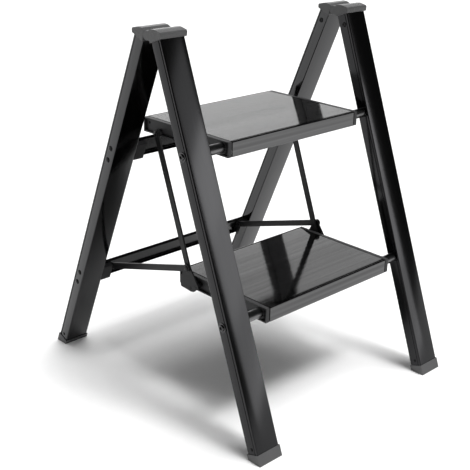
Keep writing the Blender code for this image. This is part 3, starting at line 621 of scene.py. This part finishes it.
def deck_outline(low, high, detail):
    """Section of a board: a deck with fine lines, a bead and a groove along each long edge."""
    depth = high.y - low.y
    top = high.z
    floor = low.z
    wall = 2.0 * MM
    turned_in = 8.0 * MM
    rib_deep = 11 * MM
    rib_half = 0.8 * MM
    line_top = 0.35 * MM
    line_foot = 0.15 * MM
    bead = 2.4 * MM
    groove = 2.4 * MM
    sink = 1.7 * MM
    front = low.y
    back = high.y
    points = [(front, floor, 0.8 * MM), (front, top, 1.9 * MM), (front + bead, top, 0.3 * MM),
              (front + bead, top - sink, 0.0), (front + bead + groove, top - sink, 0.0),
              (front + bead + groove, top, 0.3 * MM)]
    first = front + bead + groove + detail.ridge_pitch
    count = int((depth - 2 * (bead + groove)) / detail.ridge_pitch) - 1
    for index in range(count):
        line = first + index * detail.ridge_pitch
        points += [(line - line_top, top, 0.0), (line - line_foot, top - detail.ridge_depth, 0.0),
                   (line + line_foot, top - detail.ridge_depth, 0.0), (line + line_top, top, 0.0)]
    points += [(back - bead - groove, top, 0.3 * MM), (back - bead - groove, top - sink, 0.0),
               (back - bead, top - sink, 0.0), (back - bead, top, 0.4 * MM),
               (back, top, 1.1 * MM), (back, floor, 0.8 * MM), (back - turned_in, floor, 0.0),
               (back - turned_in, floor + wall, 0.0), (back - wall, floor + wall, 0.0),
               (back - wall, top - wall, 0.0)]
    for place in (0.667, 0.333):
        rib = front + depth * place
        points += [(rib + rib_half, top - wall, 0.0), (rib + rib_half, top - rib_deep, 0.0),
                   (rib - rib_half, top - rib_deep, 0.0), (rib - rib_half, top - wall, 0.0)]
    points += [(front + wall, top - wall, 0.0), (front + wall, floor + wall, 0.0),
               (front + turned_in, floor + wall, 0.0), (front + turned_in, floor, 0.0)]
    return rounded(points, 4)


class STOOL_OT_boards(StoolOperator):
    """Add both boards."""

    bl_idname = "stool.boards"
    bl_label = "Boards"

    def build(self, detail):
        for level in AXLES:
            node = level + "_step_board"
            low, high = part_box(node)
            form = bmesh.new()
            seam = 1.6 * MM
            prism(form, deck_outline(low, high, detail), low.x + seam, high.x - seam)
            add_piece(node + "_extrusion", form, "deck", level + "_step",
                      nodes=(node,))


class STOOL_OT_end_caps(StoolOperator):
    """Add the end caps of the boards and the screws that hold them."""

    bl_idname = "stool.end_caps"
    bl_label = "End caps"

    def build(self, detail):
        for level in AXLES:
            for word, side in SIDES:
                node = "%s_step_cap_%s" % (level, word)
                refined(node, "cap", level + "_step", detail.edge * 0.7)
                low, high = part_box(node)
                top = AXLES[level][1].z + 2.7 * MM
                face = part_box(level + "_step_board")[1].x + 3.1 * MM
                root = face - 1 * MM
                radius = 2.4 * MM
                for index, (y, z) in enumerate(((low.y + 6.5 * MM, top - 19.5 * MM),
                                                (high.y - 10.0 * MM, top - 9.0 * MM))):
                    form = bmesh.new()
                    rows = [(root, 0.0), (root, radius)]
                    rows += dome(face, 1.6 * MM, radius, 1)
                    turn(form, [(side * x, r) for x, r in rows], (y, z), 24)
                    add_piece("%s_screw_%d" % (node, index + 1), form, "rivet", level + "_step")


class STOOL_OT_struts(StoolOperator):
    """Add the links, the braces, their brackets and the pins that join them."""

    bl_idname = "stool.struts"
    bl_label = "Links and braces"

    def build(self, detail):
        for word, side in SIDES:
            refined("link_" + word, "strut", "link_%s_body" % word,
                    detail.plate_edge)
            refined("brace_" + word, "strut", "brace_%s_body" % word,
                    detail.plate_edge)
            refined("brace_bracket_" + word, "strut", "lower_step",
                    detail.plate_edge)
            self.pin("top_link_pin_" + word, side, "top_step", 1)
            self.pin("lower_link_pin_" + word, side, "lower_step", 0)
            self.pin("bracket_bolt_" + word, side, "lower_step", 0)
            self.pin("brace_rear_pin_" + word, side, "rear_frame", -1)
            self.pin("brace_front_pin_" + word, side, "brace_%s_body" % word, 1)

    def pin(self, node, side, body, head):
        """A round pin; head is 1 or -1 for the end that it is on, or 0 for none."""
        low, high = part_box(node)
        spot = middle(node)
        inner, outer = sorted((abs(low.x), abs(high.x)))
        radius = (high.z - low.z) / 2
        shank = 2.5 * MM
        tall = 1.3 * MM
        if head == 1:
            rows = [(inner, 0.0), (inner, shank), (outer - tall, shank)]
            rows += dome(outer - tall, tall, radius, 1)
        elif head == -1:
            rows = [(outer, 0.0), (outer, shank), (inner + tall, shank)]
            rows += dome(inner + tall, tall, radius, -1)
        else:
            lip = 0.3 * MM
            rows = [(inner, 0.0), (inner, radius), (outer - lip, radius), (outer, radius - lip),
                    (outer, 0.0)]
        form = bmesh.new()
        turn(form, [(side * x, r) for x, r in rows], (spot.y, spot.z), 28)
        add_piece(node + "_detail", form, "rivet", body, nodes=(node,))


class STOOL_OT_crossbars(StoolOperator):
    """Add the crossbars, the blocks in their ends and the rivets through the legs."""

    bl_idname = "stool.crossbars"
    bl_label = "Crossbars"

    def build(self, detail):
        for level in ("upper", "lower"):
            refined(level + "_crossbar", "bar", "rear_frame",
                    detail.plate_edge)
            for word, side in SIDES:
                refined("%s_bar_block_%s" % (level, word), "strut", "rear_frame",
                        detail.edge)
                for index in (1, 2):
                    node = "%s_bar_rivet_%s_%d" % (level, word, index)
                    low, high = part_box(node)
                    spot = middle(node)
                    tip = max(abs(low.x), abs(high.x))
                    radius = (high.z - low.z) / 2
                    face = LEG_OUT + SEAT
                    root = face - 6 * MM
                    shank = 2 * MM
                    rows = [(root, 0.0), (root, shank), (face, shank)]
                    rows += dome(face, tip - face, radius, 1)
                    form = bmesh.new()
                    turn(form, [(side * x, r) for x, r in rows], (spot.y, spot.z))
                    add_piece(node + "_detail", form, "rivet", "rear_frame",
                              nodes=(node,))


# ---------------------------------------------------------------- stage
class STOOL_OT_stage(Operator):
    """Add the floor, the lights and the camera."""

    bl_idname = "stool.stage"
    bl_label = "Stage"
    bl_options = {"REGISTER", "UNDO"}

    def execute(self, context):
        stage = context.scene.stool_stage
        self.floor(stage)
        self.lights(stage)
        self.sky(context.scene, stage)
        self.camera(context.scene, stage)
        context.scene.view_settings.view_transform = "Standard"
        return {"FINISHED"}

    def floor(self, stage):
        """A wide plain floor."""
        form = bmesh.new()
        bmesh.ops.create_grid(form, x_segments=8, y_segments=8, size=20.0)
        mesh = bpy.data.meshes.new("floor")
        form.to_mesh(mesh)
        form.free()
        piece = bpy.data.objects.new("floor", mesh)
        bpy.context.scene.collection.objects.link(piece)
        mesh.materials.append(grained("pale_floor", stage.floor_colour, 0.6, 0.0, 0.01,
                                      60.0, (1, 1, 1), 0.0))

    def lights(self, stage):
        """Two wide soft lights for everything, and rows of cards for the front legs.

        The two wide lights leave no highlight of their own, so the black metal mirrors
        only the surroundings and the cards.
        """
        for name, toward, strength, spread in (
                ("overhead", (-0.11, 0.42, -1.0), stage.overhead, 13.0),
                ("front", (-0.22, 0.20, -1.0), stage.front_light, 44.0)):
            lamp = bpy.data.lights.new(name, "SUN")
            lamp.energy = strength
            lamp.angle = math.radians(spread)
            self.hang(name, lamp, (0, 0, 3), Vector(toward)).visible_glossy = False
        lit = bpy.data.collections.new("card_lit")
        for word, _ in SIDES:
            lit.objects.link(bpy.data.objects["front_leg_%s_extrusion" % word])
        spot = Vector((1.57, -2.185, 0.0))
        facing = Vector((-1.69, 2.10, 0.0))
        rows = ((0.20, 0.7), (0.60, 1.0), (1.00, 1.2), (1.40, 0.35))
        for index, (height, share) in enumerate(rows):
            card = bpy.data.lights.new("card", "AREA")
            card.shape = "RECTANGLE"
            card.size = 0.92
            card.size_y = 0.40
            card.energy = stage.card * share
            place = spot + Vector((0, 0, height))
            holder = self.hang("card_%d" % (index + 1), card, place, facing)
            holder.light_linking.receiver_collection = lit

    def hang(self, name, lamp, place, toward):
        """Put a lamp in the scene, facing a direction."""
        holder = bpy.data.objects.new(name, lamp)
        bpy.context.scene.collection.objects.link(holder)
        holder.location = place
        holder.rotation_euler = toward.to_track_quat("-Z", "Y").to_euler()
        holder.visible_camera = False
        return holder

    def sky(self, scene, stage):
        """Surroundings with one bright wall behind the stool, and a pale backdrop."""
        world = bpy.data.worlds.new("studio")
        scene.world = world
        world.use_nodes = True
        nodes = world.node_tree.nodes
        wire = world.node_tree.links.new
        place = nodes.new("ShaderNodeTexCoord")
        split = nodes.new("ShaderNodeSeparateXYZ")
        wire(place.outputs["Generated"], split.inputs["Vector"])
        behind = nodes.new("ShaderNodeMapRange")
        behind.interpolation_type = "SMOOTHSTEP"
        behind.inputs["From Min"].default_value = 0.10
        behind.inputs["From Max"].default_value = 0.90
        wire(split.outputs["Y"], behind.inputs["Value"])
        low = nodes.new("ShaderNodeMapRange")
        low.interpolation_type = "SMOOTHSTEP"
        low.inputs["From Min"].default_value = 0.75
        low.inputs["From Max"].default_value = 0.30
        wire(split.outputs["Z"], low.inputs["Value"])
        wall = nodes.new("ShaderNodeMath")
        wall.operation = "MULTIPLY"
        wire(behind.outputs["Result"], wall.inputs[0])
        wire(low.outputs["Result"], wall.inputs[1])
        level = nodes.new("ShaderNodeMapRange")
        level.inputs["To Min"].default_value = stage.sky_rest
        level.inputs["To Max"].default_value = stage.sky_back
        wire(wall.outputs["Value"], level.inputs["Value"])
        seen = nodes.new("ShaderNodeLightPath")
        pale = nodes.new("ShaderNodeMath")
        pale.operation = "MAXIMUM"
        wire(level.outputs["Result"], pale.inputs[0])
        wire(seen.outputs["Is Camera Ray"], pale.inputs[1])
        wire(pale.outputs["Value"], nodes["Background"].inputs["Strength"])
        nodes["Background"].inputs["Color"].default_value = (1, 1, 1, 1)

    def camera(self, scene, stage):
        """The camera, level but for a slight roll."""
        heading, dip, roll = stage.camera_heading, stage.camera_dip, stage.camera_roll
        ahead = Vector((math.sin(heading) * math.cos(dip), math.cos(heading) * math.cos(dip),
                        -math.sin(dip)))
        level = Vector((math.cos(heading), -math.sin(heading), 0.0))
        above = level.cross(ahead)
        right = math.cos(roll) * level + math.sin(roll) * above
        above = -math.sin(roll) * level + math.cos(roll) * above
        data = bpy.data.cameras.new("camera")
        data.sensor_width = 36.0
        data.lens = stage.lens
        holder = bpy.data.objects.new("camera", data)
        scene.collection.objects.link(holder)
        turned = Matrix((right, above, -ahead)).transposed().to_4x4()
        holder.matrix_world = Matrix.Translation(stage.camera_place) @ turned
        scene.camera = holder


class STOOL_PT_panel(Panel):
    """Lists the operators that make the stool."""

    bl_idname = "STOOL_PT_panel"
    bl_label = "Step Stool"
    bl_space_type = "VIEW_3D"
    bl_region_type = "UI"
    bl_category = "Step Stool"

    def draw(self, context):
        for operator in OPERATORS:
            self.layout.operator(operator.bl_idname)


OPERATORS = (STOOL_OT_legs, STOOL_OT_feet, STOOL_OT_hinge_heads, STOOL_OT_axles,
             STOOL_OT_boards, STOOL_OT_end_caps, STOOL_OT_struts, STOOL_OT_crossbars,
             STOOL_OT_stage)
SETTINGS = (StoolFinish, StoolDetail, StoolStage)


def register():
    """Add the classes and their settings."""
    for item in SETTINGS + OPERATORS + (STOOL_PT_panel,):
        bpy.utils.register_class(item)
    bpy.types.Scene.stool_finish = PointerProperty(type=StoolFinish)
    bpy.types.Scene.stool_detail = PointerProperty(type=StoolDetail)
    bpy.types.Scene.stool_stage = PointerProperty(type=StoolStage)


def unregister():
    """Take the classes and their settings away."""
    del bpy.types.Scene.stool_stage
    del bpy.types.Scene.stool_detail
    del bpy.types.Scene.stool_finish
    for item in reversed(SETTINGS + OPERATORS + (STOOL_PT_panel,)):
        bpy.utils.unregister_class(item)


def main():
    """Build the whole scene."""
    register()
    bpy.ops.stool.legs()
    bpy.ops.stool.feet()
    bpy.ops.stool.hinge_heads()
    bpy.ops.stool.axles()
    bpy.ops.stool.boards()
    bpy.ops.stool.end_caps()
    bpy.ops.stool.struts()
    bpy.ops.stool.crossbars()
    bpy.ops.stool.stage()


if __name__ == "__main__":
    main()
